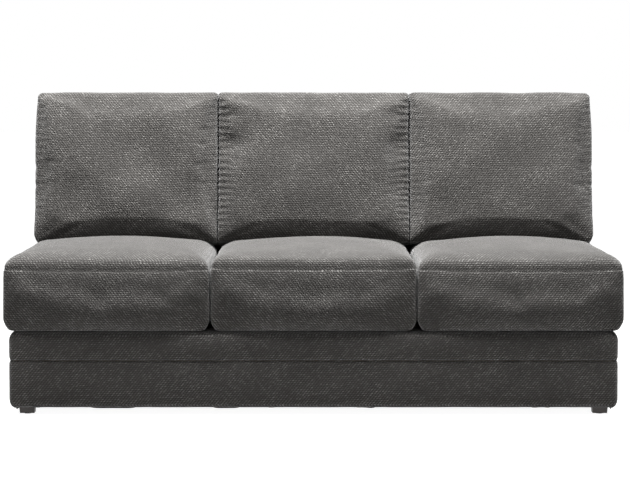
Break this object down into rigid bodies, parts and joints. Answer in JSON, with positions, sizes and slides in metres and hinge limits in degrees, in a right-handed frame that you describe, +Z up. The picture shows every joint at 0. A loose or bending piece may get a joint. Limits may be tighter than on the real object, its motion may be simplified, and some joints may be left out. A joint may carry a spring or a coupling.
{
  "type": "armless sofa",
  "caption": "Armless sofa in warm grey chenille with loose boxed seat cushions, loose back cushions and short dark feet.",
  "frame": {"origin": "on the floor, middle of the width and of the depth", "axes": "+X along the width to the right seen from the front, +Y to the rear, +Z up"},
  "size_m": [1.98, 1.143, 1.0291],
  "materials": {
    "upholstery": "chunky chenille weave, warm grey",
    "filling": "matt",
    "lining": "plain woven",
    "dust_cloth": "matt",
    "timber": "unfinished",
    "dark_wood": "satin",
    "glide_plastic": "matt",
    "zinc_steel": "bright zinc",
    "spring_wire": "drawn wire"
  },
  "bodies": {
    "frame": {"back_end_cover_left": "upholstery", "back_end_cover_right": "upholstery", "back_pad": "filling", "back_post_inner_left": "timber", "back_post_inner_right": "timber", "back_post_outer_left": "timber", "back_post_outer_right": "timber", "back_spring_clips": "zinc_steel", "back_springs_centre": "spring_wire", "back_springs_left": "spring_wire", "back_springs_right": "spring_wire", "corner_blocks": "timber", "deck_cover": "lining", "deck_pad": "filling", "dust_cover": "dust_cloth", "end_cover_left": "upholstery", "end_cover_right": "upholstery", "foot_bolts": "zinc_steel", "foot_front_left": "dark_wood", "foot_front_right": "dark_wood", "foot_glides": "glide_plastic", "foot_nuts": "zinc_steel", "foot_rear_left": "dark_wood", "foot_rear_right": "dark_wood", "front_border_cover": "upholstery", "front_edge_roll": "filling", "front_panel_cover": "upholstery", "front_rail": "timber", "inside_back_cover": "upholstery", "lower_back_rails": "timber", "outside_back_cover": "upholstery", "rear_rail": "timber", "rear_seat_rail": "timber", "seat_springs_centre": "spring_wire", "seat_springs_left": "spring_wire", "seat_springs_right": "spring_wire", "seat_stretchers": "timber", "side_rail_left": "timber", "side_rail_right": "timber", "spring_clips_front": "zinc_steel", "spring_clips_rear": "zinc_steel", "spring_tie_wires": "spring_wire", "top_rail": "timber"},
    "seat_cushion_left": {"seat_cushion_cover_left": "upholstery", "seat_cushion_fill_left": "filling"},
    "back_cushion_left": {"back_cushion_cover_left": "upholstery", "back_cushion_fill_left": "filling"},
    "seat_cushion_centre": {"seat_cushion_cover_centre": "upholstery", "seat_cushion_fill_centre": "filling"},
    "back_cushion_centre": {"back_cushion_cover_centre": "upholstery", "back_cushion_fill_centre": "filling"},
    "seat_cushion_right": {"seat_cushion_cover_right": "upholstery", "seat_cushion_fill_right": "filling"},
    "back_cushion_right": {"back_cushion_cover_right": "upholstery", "back_cushion_fill_right": "filling"}
  },
  "joints": [
    {"name": "seat_left_pull", "type": "slide", "parent": "frame", "child": "seat_cushion_left", "axis": [0, -1, 0], "range_m": [0, 0.45]},
    {"name": "back_left_lift", "type": "slide", "parent": "frame", "child": "back_cushion_left", "axis": [0, 0.165, 0.9863], "range_m": [0, 0.35]},
    {"name": "seat_centre_pull", "type": "slide", "parent": "frame", "child": "seat_cushion_centre", "axis": [0, -1, 0], "range_m": [0, 0.45]},
    {"name": "back_centre_lift", "type": "slide", "parent": "frame", "child": "back_cushion_centre", "axis": [0, 0.165, 0.9863], "range_m": [0, 0.35]},
    {"name": "seat_right_pull", "type": "slide", "parent": "frame", "child": "seat_cushion_right", "axis": [0, -1, 0], "range_m": [0, 0.45]},
    {"name": "back_right_lift", "type": "slide", "parent": "frame", "child": "back_cushion_right", "axis": [0, 0.165, 0.9863], "range_m": [0, 0.35]}
  ]
}
